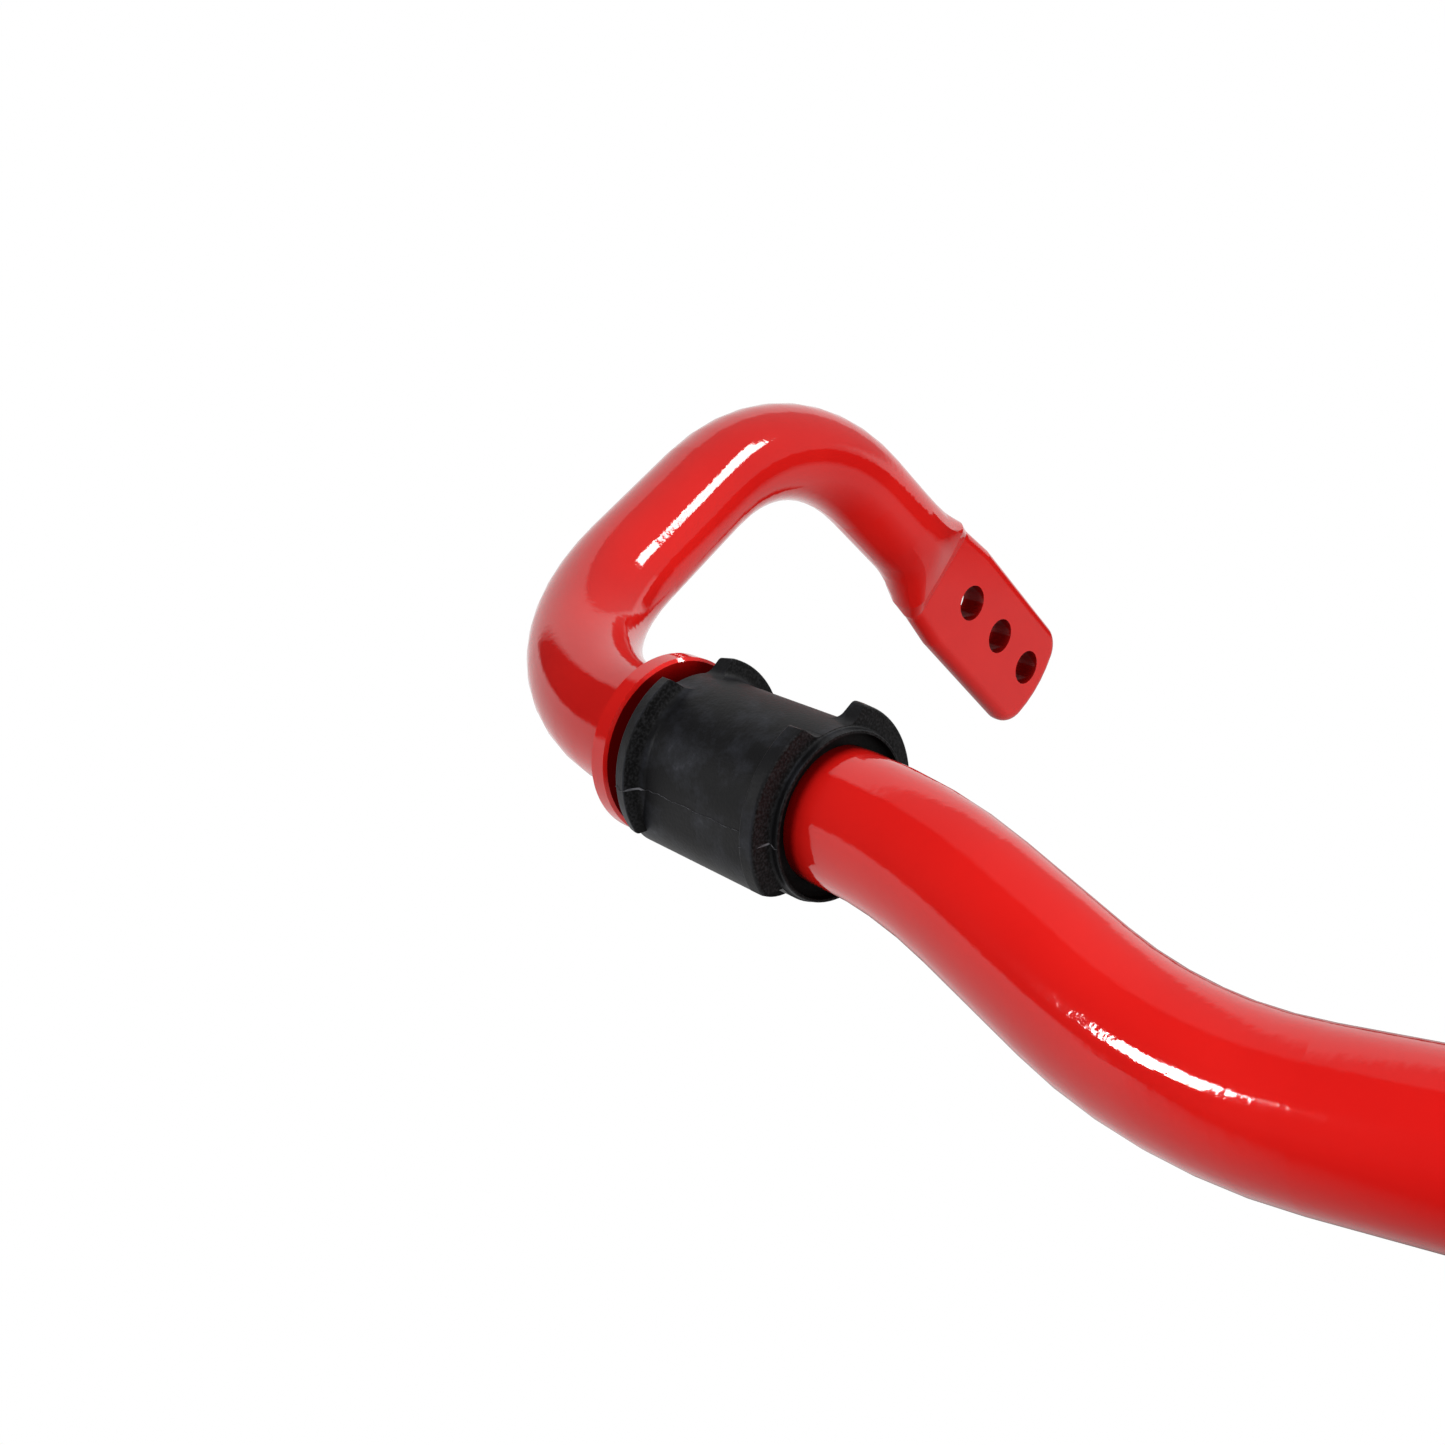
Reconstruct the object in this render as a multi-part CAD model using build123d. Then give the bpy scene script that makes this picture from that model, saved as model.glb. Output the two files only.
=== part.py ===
"""Rear sway bar of a car, with its two lateral lock collars and its two split D bushings.

Millimetres. X runs across the car, Y rearwards and Z up. The origin is on the axis of the two
bushings, at the car's centre plane. The bar is the same on both sides of that plane.
"""
import os
from math import cos, radians, sin, sqrt, tan

from build123d import *

# ---- bar: route of its centreline, left half ----
bar_radius = 12.5
bushing_spacing = 700.0        # between the centres of the two bushings
joggle_start = 36.7            # from a bushing's centre, inboard, to the first joggle bend
joggle_run = 57.9              # from the first joggle bend to the second
joggle_angle = 16.1            # turn of the first joggle bend, degrees
joggle_return_angle = 12.7     # slope of the run that comes back to the axis, degrees
joggle_tilt = 54.3             # of the joggle's plane below the horizontal, forwards, degrees
arm_start = 78.5               # from a bushing's centre, outboard, to the corner of the arm
arm_length = 116.0             # from that corner to the corner of the blade
arm_splay = 12.2               # of the arm away from the car's long axis, degrees
arm_rise = 20.2                # of the arm above the horizontal, rearwards, degrees
blade_drop = 44.7              # of the blade below the horizontal, rearwards, degrees

blade_bend_radius = 63.5
arm_bend_radius = 54.5
joggle_bend_radius = 109.0
joggle_low_radius = 79.0
joggle_end_radius = 100.0

# ---- blade: distances run along it from the corner of the arm ----
round_end = 58.0               # where the round bar stops
press_start = 79.0             # where the pressed step starts
flat_start = 83.8              # where the flat starts
root_run = 1.5                 # length of the flat before it starts to widen
flat_full = 98.0               # where the flat reaches its full width
blade_tip = 155.0
flat_turn = 1.6                # how much steeper the flat runs than the round bar before it, degrees
flat_offset = 1.0              # of the flat's middle below its row of holes
root_width = 32.4              # of the flat where it starts
blade_width = 35.4
blade_thickness = 8.0
blade_edge_radius = 3.5
tip_corner_radius = 9.0
tip_crown = 4.5                # how far the middle of the tip stands out past its corners
first_hole = 101.9
hole_pitch = 20.1
hole_radius = 5.5
hole_count = 3

# ---- lateral lock collar ----
collar_radius = 17.8
collar_thickness = 4.6
collar_gap = 4.8               # between the collar and the bushing's outboard end
collar_chamfer = 0.6

# ---- bushing ----
bushing_length = 39.0
bushing_crown_radius = 16.0
bushing_base_depth = 15.8      # from the axis down to the flat base
bushing_corner_radius = 10.3
base_reach = 11.0              # how far inboard of the bushing's centre its flat base goes
running_clearance = 0.05
flange_radius = 19.8
outer_rim_taper = 0.7          # how much lower a rim is on the side away from the saddle
inner_rim_taper = 0.2
outer_rim_width = 3.2
inner_rim_width = 2.9
neck_length = 1.6              # the round neck inboard of the inner flange
neck_radius = 15.6
wall_lean = 0.5                # of a flange's wall, from its rim to its root
saddle_fillet = 1.7            # between the saddle and a flange's wall
neck_fillet = 0.6              # between the neck and the inner flange's wall
rim_edge_radius = 0.6
small_edge_radius = 0.3
gap_root_angle = 15.5          # half of the gap in a flange, at the crown, degrees
gap_rim_angle = 23.0           # half of the same gap, at the flange's rim, degrees
gap_turn = 1.5                 # of the gap's middle, rearwards from the top, degrees
gap_root_fillet = 2.5
tab_corner_radius = 1.2
flange_foot = 9.3              # how far below the axis a flange ends
slit_width = 0.5

bushing_centre = bushing_spacing / 2


def bar_corners():
    """Corners of the left half of the centreline, from the blade to the last joggle bend."""
    splay = radians(arm_splay)
    reach = arm_length * cos(splay)
    rise = radians(arm_rise)
    elbow_x = -bushing_centre - arm_start
    blade_corner = Vector(elbow_x - arm_length * sin(splay), reach * cos(rise), reach * sin(rise))
    first_x = -bushing_centre + joggle_start
    drop = joggle_run * sin(radians(joggle_angle))
    low_x = first_x + joggle_run * cos(radians(joggle_angle))
    tilt = radians(joggle_tilt)
    low = Vector(low_x, -drop * cos(tilt), -drop * sin(tilt))
    last_x = low_x + drop / tan(radians(joggle_return_angle))
    return [blade_corner, Vector(elbow_x, 0, 0), Vector(first_x, 0, 0), low, Vector(last_x, 0, 0)]


def blade_direction(turn=0.0):
    drop = radians(blade_drop + turn)
    return Vector(0, cos(drop), -sin(drop))


def mirrored(point):
    return Vector(-point.X, point.Y, point.Z)


def round_bar():
    """The round bar between the two blades, swept along its whole bent centreline."""
    corners = bar_corners()
    start = corners[0] + blade_direction() * round_end
    left = [start] + corners
    right = [mirrored(point) for point in reversed(left)]
    radii = [blade_bend_radius, arm_bend_radius, joggle_bend_radius, joggle_low_radius,
             joggle_end_radius]
    path = FilletPolyline(*left, *right, radius=radii + radii[::-1])
    section = Plane(origin=start, z_dir=-blade_direction()) * Circle(bar_radius)
    return sweep(section, path=path)


def section_points(spread, press):
    """Five points of one quarter of a section of the blade's neck, from its crown to its side.

    spread and press go from 0, the round bar, to 1, the start of the flat.
    """
    angles = (90, 60, 45, 30, 0)
    half_width = root_width / 2
    half_thickness = blade_thickness / 2
    edge = blade_edge_radius
    inset = edge * (1 - cos(radians(45)))
    flat_x = (0, half_width - edge, half_width - inset, half_width, half_width)
    flat_y = (half_thickness, half_thickness, half_thickness - inset, half_thickness - edge, 0)
    points = []
    for angle, x, y in zip(angles, flat_x, flat_y):
        round_x = bar_radius * cos(radians(angle))
        round_y = bar_radius * sin(radians(angle))
        points.append((round_x + spread * (x - round_x), round_y + press * (y - round_y)))
    return points


def neck_section(plane, spread, press):
    """One closed section of the blade's neck, on a plane across it."""
    crown, crown_end, corner, side_end, side = section_points(spread, press)

    def place(point, flip_x, flip_y):
        return (point[0] * flip_x, point[1] * flip_y)

    edges = []
    for flip in (1, -1):
        if press < 1:
            edges.append(ThreePointArc(place(crown_end, -flip, flip), place(crown, 1, flip),
                                       place(crown_end, flip, flip)))
        else:
            edges.append(Line(place(crown_end, -flip, flip), place(crown_end, flip, flip)))
        edges.append(ThreePointArc(place(crown_end, flip, flip), place(corner, flip, flip),
                                   place(side_end, flip, flip)))
        if spread < 1:
            edges.append(ThreePointArc(place(side_end, flip, flip), place(side, flip, 1),
                                       place(side_end, flip, -flip)))
        else:
            edges.append(Line(place(side_end, flip, flip), place(side_end, flip, -flip)))
        edges.append(ThreePointArc(place(side_end, flip, -flip), place(corner, flip, -flip),
                                   place(crown_end, flip, -flip)))
    return plane * make_face(edges)


def blade_plane(along, lower):
    """A plane across the left blade's neck: its x runs down the blade's width, its y across the car.

    lower is how far its middle lies below the bar's centreline.
    """
    direction = blade_direction()
    across_blade = direction.cross(Vector(1, 0, 0))
    return Plane(origin=bar_corners()[0] + direction * along + across_blade * lower,
                 x_dir=across_blade, z_dir=direction)


def flat_plane():
    """The plane of the blade's flat: its x runs along the flat, its y up its width."""
    start = bar_corners()[0] + blade_direction() * flat_start
    return Plane(origin=start, x_dir=blade_direction(flat_turn), z_dir=(1, 0, 0))


def root_plane():
    """The plane across the blade where the flat starts."""
    flat = flat_plane()
    return Plane(origin=flat.origin - flat.y_dir * flat_offset, x_dir=-flat.y_dir, z_dir=flat.x_dir)


def blade_neck():
    """From the round bar to the flat: a slow taper, then the pressed step."""
    taper = [neck_section(blade_plane(round_end, 0), 0, 0),
             neck_section(blade_plane(round_end + 3, 0), 0.01, 0.01),
             neck_section(blade_plane(round_end + 10, -0.1), 0.12, 0.14),
             neck_section(blade_plane(press_start - 3, 0.4), 0.62, 0.50),
             neck_section(blade_plane(press_start, 0.6), 0.84, 0.64)]
    step = [taper[-1], neck_section(root_plane(), 1, 1)]
    return loft(taper) + loft(step, ruled=True)


def blade_flat():
    """The flat end of the blade, with its crowned tip and its link holes."""
    half_width = blade_width / 2
    half_root = root_width / 2
    full = flat_full - flat_start
    tip = blade_tip - flat_start
    corner_along = tip - tip_crown
    outline = make_face([
        Line((0, half_root), (0, -half_root)),
        Line((0, -half_root), (root_run, -half_root)),
        Line((root_run, -half_root), (full, -half_width)),
        Line((full, -half_width), (corner_along, -half_width)),
        ThreePointArc((corner_along, -half_width), (tip, 0), (corner_along, half_width)),
        Line((corner_along, half_width), (full, half_width)),
        Line((full, half_width), (root_run, half_root)),
        Line((root_run, half_root), (0, half_root)),
    ])
    tip_corners = outline.vertices().group_by(Axis.X)[-1]
    outline = fillet(tip_corners, tip_corner_radius)
    flat = extrude(outline, blade_thickness / 2, both=True)
    rims = [edge for edge in flat.edges().filter_by(lambda e: abs(e.center().Z) > blade_thickness / 4)
            if edge.center().X > 0.01]
    flat = Pos(0, -flat_offset) * fillet(rims, blade_edge_radius)
    for index in range(hole_count):
        along = first_hole - flat_start + index * hole_pitch
        flat -= Pos(along) * Cylinder(hole_radius, blade_thickness * 2)
    return flat_plane() * flat


def sway_bar():
    blade = blade_neck() + blade_flat()
    return round_bar() + blade + mirror(blade, about=Plane.YZ)


def collar(side):
    """A lateral lock collar; side is -1 for the left one and 1 for the right one."""
    ring = Cylinder(collar_radius, collar_thickness, rotation=(0, 90, 0))
    ring = chamfer(ring.edges().filter_by(GeomType.CIRCLE), collar_chamfer)
    ring -= Cylinder(bar_radius, collar_thickness * 2, rotation=(0, 90, 0))
    inboard_face = bushing_centre + bushing_length / 2 + collar_gap
    return Pos(side * (inboard_face + collar_thickness / 2)) * ring


def across(shape, low_x, high_x):
    """A shape drawn in Y and Z, as a solid between two places along X."""
    return Pos(low_x) * extrude(Plane.YZ * shape, high_x - low_x)


def bushing_body():
    """The D body: a round crown, straight sides, rounded lower corners and a flat base."""
    half = bushing_length / 2
    crown = Circle(bushing_crown_radius)
    width = 2 * bushing_crown_radius
    foot = Pos(0, -bushing_base_depth / 2) * Rectangle(width, bushing_base_depth)
    foot = fillet(foot.vertices().group_by(Axis.Y)[0], bushing_corner_radius)
    return across(crown + foot, -half, base_reach) + across(crown, base_reach, half - neck_length)


def on_circle(radius, angle):
    """A point at an angle from straight up, in degrees."""
    return Vector(radius * sin(radians(angle)), radius * cos(radians(angle)))


def round_corner(face, corner, radius):
    return fillet(face.vertices().sort_by_distance(corner)[0], radius)


def flange_outline():
    """The two tabs of a flange as seen along the bar, joined by the crown's circle."""
    rounds = []
    walls = []
    for side in (-1, 1):
        root = on_circle(bushing_crown_radius, gap_turn + side * gap_root_angle)
        rim = on_circle(flange_radius, gap_turn + side * gap_rim_angle)
        walls.append([root + (root - rim), rim + (rim - root) * 4])
        rounds += [(root, gap_root_fillet), (rim, tab_corner_radius)]
        foot = Vector(side * sqrt(flange_radius ** 2 - flange_foot ** 2), -flange_foot)
        rounds.append((foot, tab_corner_radius))
    gap = make_face(Polyline(*walls[0], *reversed(walls[1]), close=True))
    reach = 2 * flange_radius
    below = Pos(0, -flange_foot - reach / 2) * Rectangle(2 * reach, reach)
    outline = Circle(flange_radius) - gap - below + Circle(bushing_crown_radius)
    for corner, radius in rounds:
        outline = round_corner(outline, corner, radius)
    return outline


def flange(section, rounds):
    """A flange from its section, X by radius, and the corners of that section to round."""
    face = make_face(Polyline(*section, close=True))
    for corner, radius in rounds:
        face = round_corner(face, corner, radius)
    return revolve(face, Axis.X) & across(flange_outline(), -bushing_length, bushing_length)


def outer_flange():
    """The flange at the outboard end, whose inboard wall runs down into the saddle."""
    inner = bushing_crown_radius - 1
    end = -bushing_length / 2
    rim = end + outer_rim_width
    root = rim + wall_lean
    saddle = root + saddle_fillet + wall_lean
    section = [(end, inner), (end, flange_radius - outer_rim_taper), (rim, flange_radius),
               (root, bushing_crown_radius), (saddle, bushing_crown_radius), (saddle, inner)]
    return flange(section, [(section[1], rim_edge_radius), (section[2], small_edge_radius),
                            (section[3], saddle_fillet)])


def inner_flange():
    """The flange at the inboard end, with the short round neck beyond it."""
    inner = bushing_crown_radius - 1
    end = bushing_length / 2
    wall = end - neck_length
    rim_high = wall - small_edge_radius
    rim_low = rim_high - inner_rim_width
    root = rim_low - wall_lean
    saddle = root - saddle_fillet - wall_lean
    section = [(saddle, inner), (saddle, bushing_crown_radius), (root, bushing_crown_radius),
               (rim_low, flange_radius), (rim_high, flange_radius - inner_rim_taper), (wall, neck_radius),
               (end, neck_radius), (end, inner)]
    return flange(section, [(section[2], saddle_fillet), (section[3], small_edge_radius),
                            (section[4], rim_edge_radius), (section[5], neck_fillet),
                            (section[6], small_edge_radius)])


def bushing(side):
    """A split bushing, drawn for the left side and mirrored for the right."""
    body = bushing_body() + outer_flange() + inner_flange()
    below_base = Pos(0, -bushing_base_depth - flange_radius) * Rectangle(*[2 * flange_radius] * 2)
    body -= across(below_base, -bushing_length, base_reach)
    body -= Cylinder(bar_radius + running_clearance, bushing_length * 2, rotation=(0, 90, 0))
    body -= Pos(0, flange_radius) * Box(bushing_length * 2, 2 * flange_radius, slit_width)
    body = Pos(-bushing_centre) * body
    return mirror(body, about=Plane.YZ) if side > 0 else body


parts = {
    "sway_bar": sway_bar(),
    "left_lock_collar": collar(-1),
    "right_lock_collar": collar(1),
    "left_bushing": bushing(-1),
    "right_bushing": bushing(1),
}

os.makedirs("parts", exist_ok=True)
for name, shape in parts.items():
    export_step(shape, f"parts/{name}.step")
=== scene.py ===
"""Looks of the sway bar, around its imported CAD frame. Metres; X across, Y rearwards, Z up."""
from math import cos, pi, radians, sin

import bpy
from mathutils import Matrix, Vector


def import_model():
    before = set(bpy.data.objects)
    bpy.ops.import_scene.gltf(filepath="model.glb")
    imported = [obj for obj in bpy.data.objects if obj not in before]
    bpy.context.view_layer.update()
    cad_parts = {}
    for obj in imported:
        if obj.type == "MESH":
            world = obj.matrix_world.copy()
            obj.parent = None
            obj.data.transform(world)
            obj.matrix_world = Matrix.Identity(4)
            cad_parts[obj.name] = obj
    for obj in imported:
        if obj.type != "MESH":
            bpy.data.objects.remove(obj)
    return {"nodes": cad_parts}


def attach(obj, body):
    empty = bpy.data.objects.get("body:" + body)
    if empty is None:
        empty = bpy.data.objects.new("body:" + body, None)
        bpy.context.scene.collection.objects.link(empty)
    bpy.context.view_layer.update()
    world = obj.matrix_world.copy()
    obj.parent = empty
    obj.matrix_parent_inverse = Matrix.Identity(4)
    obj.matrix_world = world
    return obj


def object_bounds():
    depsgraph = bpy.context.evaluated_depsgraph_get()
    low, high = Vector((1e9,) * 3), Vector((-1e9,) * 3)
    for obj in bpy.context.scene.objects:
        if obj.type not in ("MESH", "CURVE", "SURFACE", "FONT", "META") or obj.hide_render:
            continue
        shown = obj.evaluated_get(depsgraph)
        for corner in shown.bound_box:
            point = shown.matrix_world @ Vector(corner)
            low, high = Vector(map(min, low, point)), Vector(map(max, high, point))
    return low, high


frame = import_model()
cad_low, cad_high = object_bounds()

# ---- camera ----
CAMERA_PLACE = Vector((-0.1665, -0.1663, 0.1171))
CAMERA_AIM = Vector((-0.70, 0.599, -0.389))
CAMERA_DOWN = Vector((0.26, -0.291, -0.925))
FOCAL_RATIO = 1511.0 / 1445.0
SENSOR_WIDTH = 36.0

# ---- floor and room: brightness of what the gloss mirrors ----
FLOOR_GAP = 0.02
FLOOR_HALF_SIZE = 6.0
FLOOR_LEVEL = 0.95
FLOOR_HALF_LEVEL = 0.5
FLOOR_DARK = 0.03
FRONT_LEVEL = 0.06
REAR_LEVEL = 0.4
PANEL_LEVEL = 1.0

# ---- lamps: azimuth, elevation, distance, size, radiance, aimed at, only seen in the gloss ----
BAR_MIDDLE = Vector((-0.35, 0.02, 0.0))
ARM_MIDDLE = Vector((-0.44, 0.05, 0.02))
JOGGLE = Vector((-0.27, 0.0, 0.0))
RIGHT_END = Vector((-0.21, 0.0, 0.0))
LAMPS = {
    "front_strip": (-117, 24, 1.6, (0.17, 0.32), 45, JOGGLE, True),
    "rear_strip": (56, 36, 1.6, (0.48, 0.36), 22, ARM_MIDDLE, True),
    "top_fill": (-60, 75, 1.8, (1.2, 1.2), 2.0, BAR_MIDDLE, False),
    "face_fill": (-5, 10, 1.5, (0.9, 0.9), 6.5, BAR_MIDDLE, False),
    "right_fill": (-80, 40, 0.25, (0.15, 0.15), 5.5, RIGHT_END, False),
}

# ---- mould line along the front of a bushing ----
BUSHING_CENTRE = 0.35
BUSHING_LENGTH = 0.039
SADDLE_RADIUS = 0.016
FILLET_RADIUS = 0.0168         # half way up the fillet between the saddle and a flange
WALL_RADIUS = 0.0177           # where that fillet meets the flange's wall
RIM_RADIUS = 0.0198
LOW_RIM_RADIUS = 0.0191
NECK_RADIUS = 0.0156
FLASH_PROUD = 0.00012
FLASH_SUNK = 0.0004
FLASH_HALF = 0.0002
FLASH_INSET = 0.0001           # from each end of the bushing
FLASH_STEPS = 320
FLANGE_REACH = 0.010           # how far from an end the line is wavy
FLANGE_WAVE = 0.00035
FLANGE_WAVE_RATE = 2400
SLOW_WAVE = 0.00012
SLOW_WAVE_RATE = 900


def camera():
    """The camera at the photographed viewing angle, inboard of the left bushing."""
    data = bpy.data.cameras.new("camera")
    data.sensor_width = SENSOR_WIDTH
    data.lens = FOCAL_RATIO * data.sensor_width
    data.clip_start = 0.01
    data.clip_end = 50
    eye = bpy.data.objects.new("camera", data)
    back = -CAMERA_AIM.normalized()
    up = -CAMERA_DOWN
    right = up.cross(back).normalized()
    up = back.cross(right)
    turn = Matrix((right, up, back)).transposed()
    eye.matrix_world = Matrix.Translation(CAMERA_PLACE) @ turn.to_4x4()
    bpy.context.collection.objects.link(eye)
    bpy.context.scene.camera = eye


class Nodes:
    """A small helper that adds and links shader nodes."""

    def __init__(self, tree):
        self.tree = tree

    def add(self, kind, inputs=None, **settings):
        node = self.tree.nodes.new(kind)
        for name, value in settings.items():
            setattr(node, name, value)
        for name, value in (inputs or {}).items():
            if isinstance(value, bpy.types.NodeSocket):
                self.tree.links.new(value, node.inputs[name])
            else:
                node.inputs[name].default_value = value
        return node

    def ramp(self, factor, stops):
        node = self.add("ShaderNodeValToRGB", {"Fac": factor})
        while len(node.color_ramp.elements) < len(stops):
            node.color_ramp.elements.new(0.5)
        for element, (place, colour) in zip(node.color_ramp.elements, stops):
            element.position = place
            element.color = (*colour, 1) if isinstance(colour, tuple) else (colour, colour, colour, 1)
        return node.outputs["Color"]


def material(name):
    """An empty material with its helper for nodes and its main shader."""
    made = bpy.data.materials.new(name)
    made.use_nodes = True
    tree = made.node_tree
    tree.nodes.clear()
    nodes = Nodes(tree)
    out = nodes.add("ShaderNodeOutputMaterial")
    shader = nodes.add("ShaderNodeBsdfPrincipled")
    tree.links.new(shader.outputs[0], out.inputs[0])
    return made, nodes, shader


def painted_shade_mask(nodes, reach):
    """Mask for painted shade: 1 on open surfaces, falling towards 0 inside holes and narrow gaps."""
    open_part = nodes.add("ShaderNodeAmbientOcclusion", {"Distance": reach}).outputs["AO"]
    return nodes.ramp(open_part, [(0.50, 0.0), (0.88, 1.0)])


def powder_coat():
    """Glossy red powder coat with a faint orange peel; painted shade and a dimmed shine inside holes and
    gaps.
    """
    made, nodes, shader = material("red_powder_coat")
    place = nodes.add("ShaderNodeTexCoord").outputs["Object"]
    tone = nodes.add("ShaderNodeTexNoise", {"Vector": place, "Scale": 35.0, "Detail": 2.0})
    colour = nodes.ramp(tone.outputs[0], [(0.35, (0.72, 0.009, 0.007)), (0.65, (0.78, 0.012, 0.009))])
    # painted shade: the paint turns near black inside holes and gaps
    lit = painted_shade_mask(nodes, 0.012)
    shaded = nodes.add("ShaderNodeMix", {"Factor": lit, 6: (0.12, 0.001, 0.001, 1), 7: colour},
                       data_type="RGBA")
    nodes.tree.links.new(shaded.outputs[2], shader.inputs["Base Color"])
    # painted shade on the shine: less specular inside holes and gaps
    gloss = nodes.add("ShaderNodeMapRange", {"Value": lit, "To Min": 0.03, "To Max": 0.5})
    nodes.tree.links.new(gloss.outputs[0], shader.inputs["Specular IOR Level"])
    peel = nodes.add("ShaderNodeTexNoise", {"Vector": place, "Scale": 620.0, "Detail": 2.0})
    bump = nodes.add("ShaderNodeBump", {"Height": peel.outputs[0], "Distance": 0.00005,
                                        "Strength": 0.6})
    nodes.tree.links.new(bump.outputs[0], shader.inputs["Normal"])
    shader.inputs["Roughness"].default_value = 0.06
    shader.inputs["IOR"].default_value = 1.5
    return made


def rubber():
    """Black rubber with bluish dust; the walls that face along the bar have a coarse grain and are
    painted darker as shade, and narrow gaps get painted shade.
    """
    made, nodes, shader = material("black_rubber")
    place = nodes.add("ShaderNodeTexCoord").outputs["Object"]
    dust = nodes.add("ShaderNodeTexNoise", {"Vector": place, "Scale": 110.0, "Detail": 6.0,
                                            "Roughness": 0.65})
    dusty = nodes.ramp(dust.outputs[0], [(0.48, (0.008, 0.008, 0.009)), (0.62, (0.020, 0.021, 0.026)),
                                         (0.74, (0.055, 0.056, 0.068))])
    facing = nodes.add("ShaderNodeSeparateXYZ", {0: nodes.add("ShaderNodeTexCoord").outputs["Normal"]})
    along = nodes.add("ShaderNodeMath", {0: facing.outputs["X"]}, operation="ABSOLUTE")
    # walls facing along the bar get a darker colour with coarse grain: the grain is the rubber's own,
    # the darkness is partly painted shade
    wall = nodes.ramp(along.outputs[0], [(0.55, 0.0), (0.85, 1.0)])
    speck = nodes.add("ShaderNodeTexNoise", {"Vector": place, "Scale": 2200.0, "Detail": 2.0})
    grain_and_shade_colour = nodes.ramp(speck.outputs[0], [(0.42, (0.003, 0.003, 0.003)), (0.66, (0.016, 0.016, 0.017))])
    colour = nodes.add("ShaderNodeMix", {"Factor": wall, 6: dusty, 7: grain_and_shade_colour}, data_type="RGBA")
    # painted shade: the rubber turns near black inside narrow gaps
    lit = painted_shade_mask(nodes, 0.004)
    shaded = nodes.add("ShaderNodeMix", {"Factor": lit, 6: (0.002, 0.002, 0.002, 1),
                                         7: colour.outputs[2]}, data_type="RGBA")
    nodes.tree.links.new(shaded.outputs[2], shader.inputs["Base Color"])
    grain = nodes.add("ShaderNodeTexNoise", {"Vector": place, "Scale": 1500.0, "Detail": 3.0})
    bump = nodes.add("ShaderNodeBump", {"Height": grain.outputs[0], "Distance": 0.00012,
                                        "Strength": 0.5})
    nodes.tree.links.new(bump.outputs[0], shader.inputs["Normal"])
    shader.inputs["Roughness"].default_value = 0.5
    shader.inputs["Specular IOR Level"].default_value = 0.16
    return made


def flash_radius(along):
    """How far the bushing's front side stands out, at a distance from its outboard end."""
    profile = [(0.0, LOW_RIM_RADIUS), (0.0032, RIM_RADIUS), (0.0037, WALL_RADIUS),
               (0.0040, FILLET_RADIUS), (0.0048, SADDLE_RADIUS), (0.0320, SADDLE_RADIUS),
               (0.0334, FILLET_RADIUS), (0.0337, WALL_RADIUS), (0.0342, RIM_RADIUS),
               (0.0371, LOW_RIM_RADIUS), (0.0375, NECK_RADIUS), (BUSHING_LENGTH, NECK_RADIUS)]
    for (start, low), (end, high) in zip(profile, profile[1:]):
        if along <= end:
            return low + (high - low) * (along - start) / (end - start)
    return NECK_RADIUS


def flash_wave(along, from_end):
    """Height of the mould line, which is wavy where it crosses the flanges."""
    near_end = max(0.0, 1 - from_end / FLANGE_REACH)
    return (FLANGE_WAVE * near_end * sin(along * FLANGE_WAVE_RATE)
            + SLOW_WAVE * sin(along * SLOW_WAVE_RATE))


def flash_mesh(name, side):
    """A thin three-sided ridge from the outboard end of a bushing to its inboard end."""
    length = BUSHING_LENGTH - 2 * FLASH_INSET
    points = []
    for index in range(FLASH_STEPS + 1):
        along = FLASH_INSET + length * index / FLASH_STEPS
        wave = flash_wave(along, min(along, length - along))
        x = side * (BUSHING_CENTRE + BUSHING_LENGTH / 2 - along)
        front = -flash_radius(along)
        points += [(x, front + FLASH_SUNK, wave - FLASH_HALF), (x, front - FLASH_PROUD, wave),
                   (x, front + FLASH_SUNK, wave + FLASH_HALF)]
    last = 3 * FLASH_STEPS
    faces = [(0, 1, 2), (last + 2, last + 1, last)]
    for here in range(0, last, 3):
        for corner in range(3):
            after = (corner + 1) % 3
            faces.append((here + corner, here + 3 + corner, here + 3 + after, here + after))
    if side > 0:
        faces = [tuple(reversed(face)) for face in faces]
    mesh = bpy.data.meshes.new(name)
    mesh.from_pydata(points, [], faces)
    return mesh


def mould_line(side, finish):
    """The mould line of the left bushing, side -1, or of the right one, side 1."""
    bushing = "left_bushing" if side < 0 else "right_bushing"
    name = bushing + "_mould_line"
    mesh = flash_mesh(name, side)
    mesh.materials.append(finish)
    piece = bpy.data.objects.new(name, mesh)
    bpy.context.collection.objects.link(piece)
    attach(piece, bushing)


def mould_line_finish():
    """The slightly paler, mottled rubber of the mould line."""
    made, nodes, shader = material("mould_line")
    place = nodes.add("ShaderNodeTexCoord").outputs["Object"]
    tone = nodes.add("ShaderNodeTexNoise", {"Vector": place, "Scale": 500.0, "Detail": 3.0})
    colour = nodes.ramp(tone.outputs[0], [(0.35, (0.03, 0.03, 0.034)), (0.65, (0.11, 0.11, 0.12))])
    nodes.tree.links.new(colour, shader.inputs["Base Color"])
    shader.inputs["Roughness"].default_value = 0.6
    return made


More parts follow.
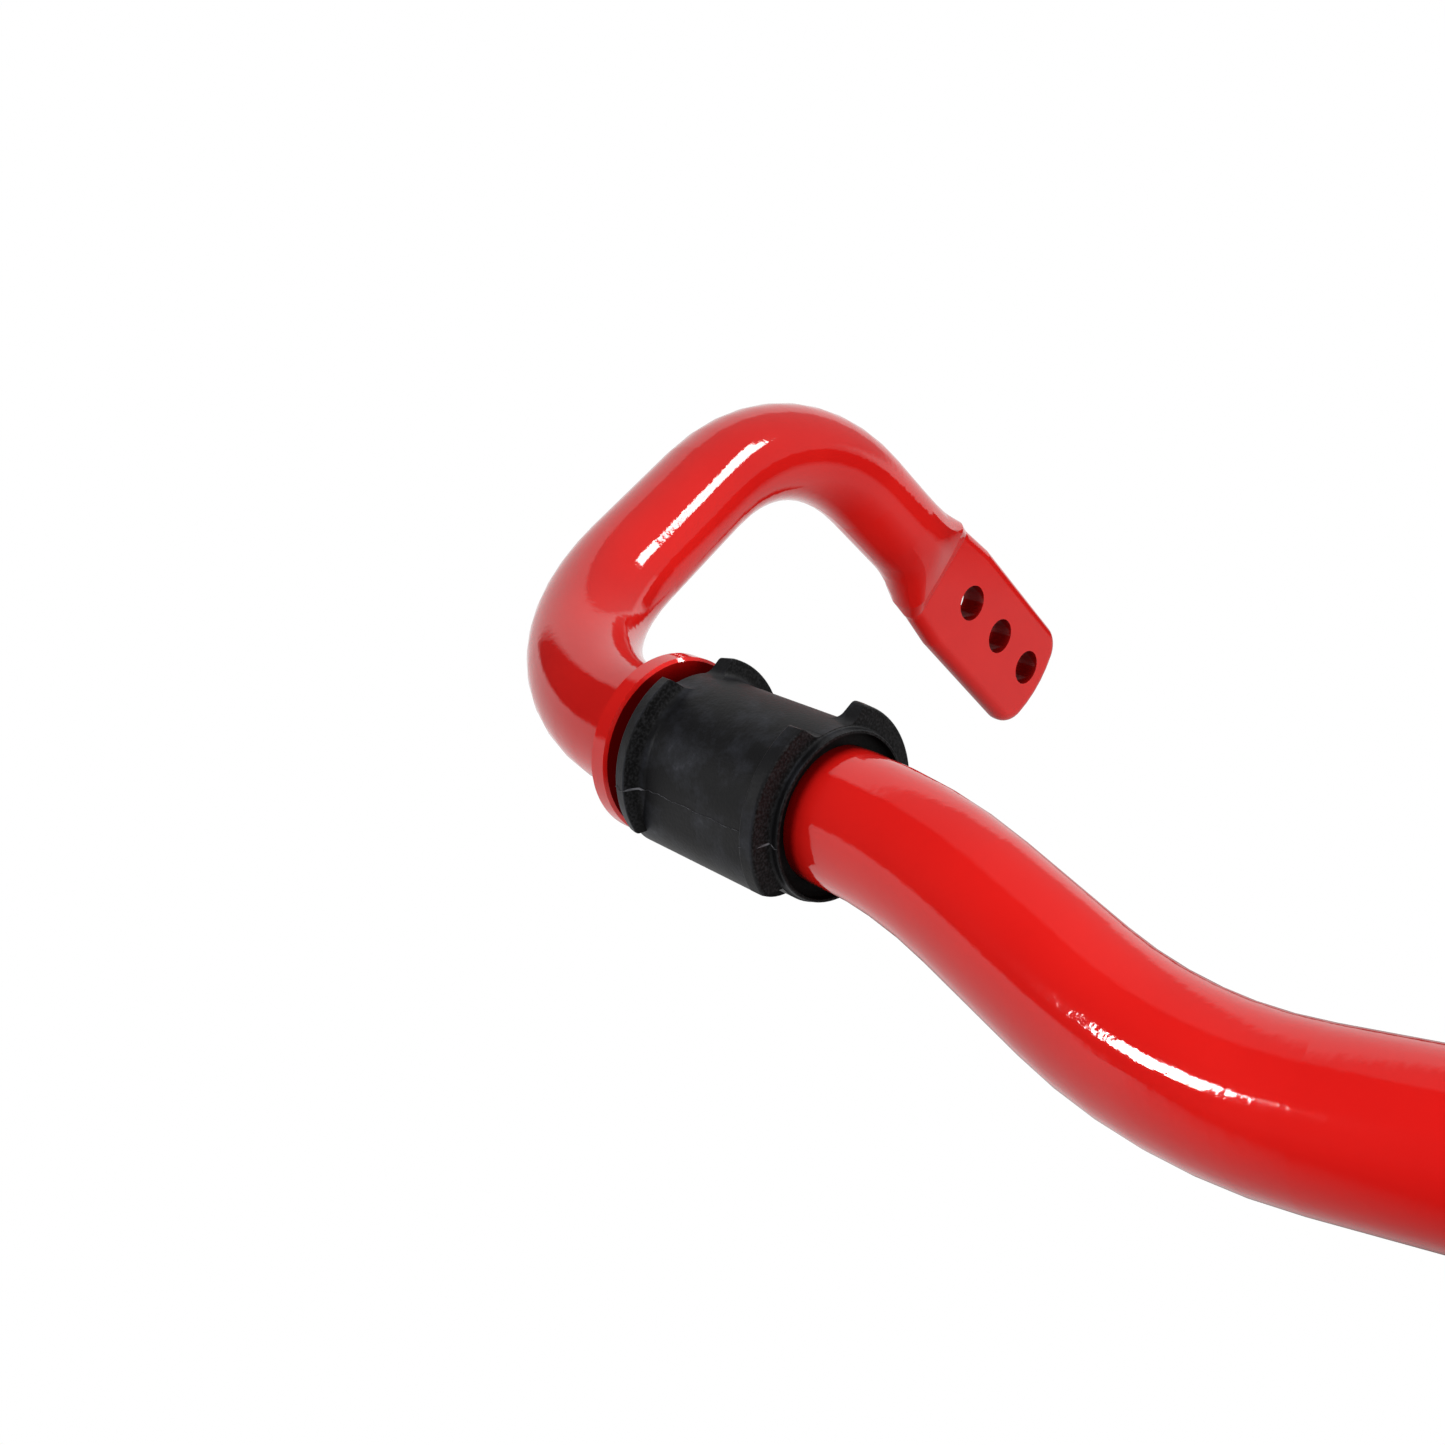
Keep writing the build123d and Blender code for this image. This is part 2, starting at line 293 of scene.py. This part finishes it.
def floor():
    """A plain pale floor that glows evenly to the camera; what the paint mirrors of it darkens to the
    right, with a painted shadow under the arm.
    """
    mesh = bpy.data.meshes.new("floor")
    half = FLOOR_HALF_SIZE
    mesh.from_pydata([(-half, -half, 0), (half, -half, 0), (half, half, 0), (-half, half, 0)], [],
                     [(0, 1, 2, 3)])
    plane = bpy.data.objects.new("floor", mesh)
    plane.location.z = cad_low[2] - FLOOR_GAP
    bpy.context.collection.objects.link(plane)
    made = bpy.data.materials.new("pale_floor")
    made.use_nodes = True
    tree = made.node_tree
    tree.nodes.clear()
    nodes = Nodes(tree)
    place = nodes.add("ShaderNodeNewGeometry").outputs["Position"]
    axes = nodes.add("ShaderNodeSeparateXYZ", {0: place})
    aside = nodes.add("ShaderNodeMath", {0: axes.outputs["Y"]}, operation="ABSOLUTE")
    reach = nodes.add("ShaderNodeMath", {0: aside.outputs[0], 1: 0.5, 2: axes.outputs["X"]},
                      operation="MULTIPLY_ADD")
    front = nodes.add("ShaderNodeMapRange", {"Value": reach.outputs[0], "From Min": -0.28,
                                             "From Max": -0.15, "To Min": FLOOR_LEVEL,
                                             "To Max": FLOOR_DARK})
    # painted shadow: the mirrored floor is dark close behind the bar, grey further back and dark again
    # beyond
    under = nodes.ramp(axes.outputs["Y"], [(0.14, FLOOR_DARK), (0.22, FLOOR_HALF_LEVEL),
                                           (0.34, FLOOR_HALF_LEVEL), (0.45, FLOOR_DARK)])
    outer = nodes.add("ShaderNodeMapRange", {"Value": axes.outputs["X"], "From Min": -0.56,
                                             "From Max": -0.47, "To Min": 1.0, "To Max": 0.0})
    rear = nodes.add("ShaderNodeMix", {"Factor": outer.outputs[0], "A": under, "B": FLOOR_LEVEL})
    behind = nodes.add("ShaderNodeMapRange", {"Value": axes.outputs["Y"], "From Min": 0.02,
                                              "From Max": 0.08})
    dim = nodes.add("ShaderNodeMix", {"Factor": behind.outputs[0], "A": front.outputs[0],
                                      "B": rear.outputs[0]})
    seen = nodes.add("ShaderNodeEmission", {"Strength": 1.0})
    mirrored = nodes.add("ShaderNodeEmission", {"Strength": dim.outputs[0]})
    path = nodes.add("ShaderNodeLightPath")
    mix = nodes.add("ShaderNodeMixShader", {0: path.outputs["Is Camera Ray"],
                                            1: mirrored.outputs[0], 2: seen.outputs[0]})
    out = nodes.add("ShaderNodeOutputMaterial")
    tree.links.new(mix.outputs[0], out.inputs[0])
    mesh.materials.append(made)


def world():
    """White behind the object; what the gloss mirrors is a room with a bright side on the left."""
    made = bpy.data.worlds.new("studio")
    made.use_nodes = True
    tree = made.node_tree
    tree.nodes.clear()
    nodes = Nodes(tree)
    way = nodes.add("ShaderNodeTexCoord").outputs["Generated"]
    axes = nodes.add("ShaderNodeSeparateXYZ", {0: way})
    lean = nodes.add("ShaderNodeMath", {0: axes.outputs["X"], 1: 2.0, 2: axes.outputs["Z"]},
                     operation="MULTIPLY_ADD")
    panel = nodes.ramp(nodes.add("ShaderNodeMath", {0: lean.outputs[0], 1: 1.0},
                                 operation="ADD").outputs[0], [(0.68, 1.0), (0.80, 0.0)])
    rear = nodes.ramp(axes.outputs["Y"], [(0.0, 0.0), (0.08, 1.0)])
    left_panel = nodes.add("ShaderNodeMath", {0: panel, 1: rear}, operation="MULTIPLY")
    horizon = nodes.ramp(axes.outputs["Z"], [(0.06, 1.0), (0.12, 0.0)])
    left_front = nodes.add("ShaderNodeMath", {0: axes.outputs["Y"], 1: -0.5, 2: axes.outputs["X"]},
                           operation="MULTIPLY_ADD")
    front = nodes.ramp(nodes.add("ShaderNodeMath", {0: left_front.outputs[0], 1: 1.0},
                                 operation="ADD").outputs[0], [(0.86, 1.0), (0.96, 0.0)])
    low_front = nodes.add("ShaderNodeMath", {0: horizon, 1: front}, operation="MULTIPLY")
    bright = nodes.add("ShaderNodeMath", {0: left_panel.outputs[0], 1: low_front.outputs[0]},
                       operation="MAXIMUM")
    plain = nodes.add("ShaderNodeMapRange", {"Value": rear, "To Min": FRONT_LEVEL,
                                             "To Max": REAR_LEVEL})
    level = nodes.add("ShaderNodeMapRange", {"Value": bright.outputs[0], "To Min": plain.outputs[0],
                                             "To Max": PANEL_LEVEL})
    room = nodes.add("ShaderNodeBackground", {"Color": (1, 1, 1, 1), "Strength": level.outputs[0]})
    white = nodes.add("ShaderNodeBackground", {"Color": (1, 1, 1, 1), "Strength": 1.0})
    path = nodes.add("ShaderNodeLightPath")
    mix = nodes.add("ShaderNodeMixShader", {0: path.outputs["Is Camera Ray"], 1: room.outputs[0],
                                            2: white.outputs[0]})
    out = nodes.add("ShaderNodeOutputWorld")
    tree.links.new(mix.outputs[0], out.inputs[0])
    bpy.context.scene.world = made


def softbox(name, azimuth, elevation, distance, size, radiance, aim, mirrored):
    """A flat lamp, its azimuth measured from +X towards +Y.

    A mirrored lamp is only seen in the paint's shine; any other only lights surfaces softly.
    """
    data = bpy.data.lights.new(name, "AREA")
    data.shape = "RECTANGLE"
    data.size, data.size_y = size
    data.energy = radiance * pi * size[0] * size[1]
    lamp = bpy.data.objects.new(name, data)
    level = cos(radians(elevation))
    way = Vector((level * cos(radians(azimuth)), level * sin(radians(azimuth)),
                  sin(radians(elevation))))
    lamp.location = aim + way * distance
    lamp.rotation_euler = way.to_track_quat("Z", "Y").to_euler()
    lamp.visible_camera = False
    lamp.visible_glossy = mirrored
    lamp.visible_diffuse = not mirrored
    bpy.context.collection.objects.link(lamp)


camera()
bpy.context.scene.view_settings.view_transform = "Standard"
world()
floor()
paint = powder_coat()
black = rubber()
for name, node in frame["nodes"].items():
    node.material_slots[0].material = black if "bushing" in name else paint

line_finish = mould_line_finish()
for side in (-1, 1):
    mould_line(side, line_finish)
for name, settings in LAMPS.items():
    softbox(name, *settings)
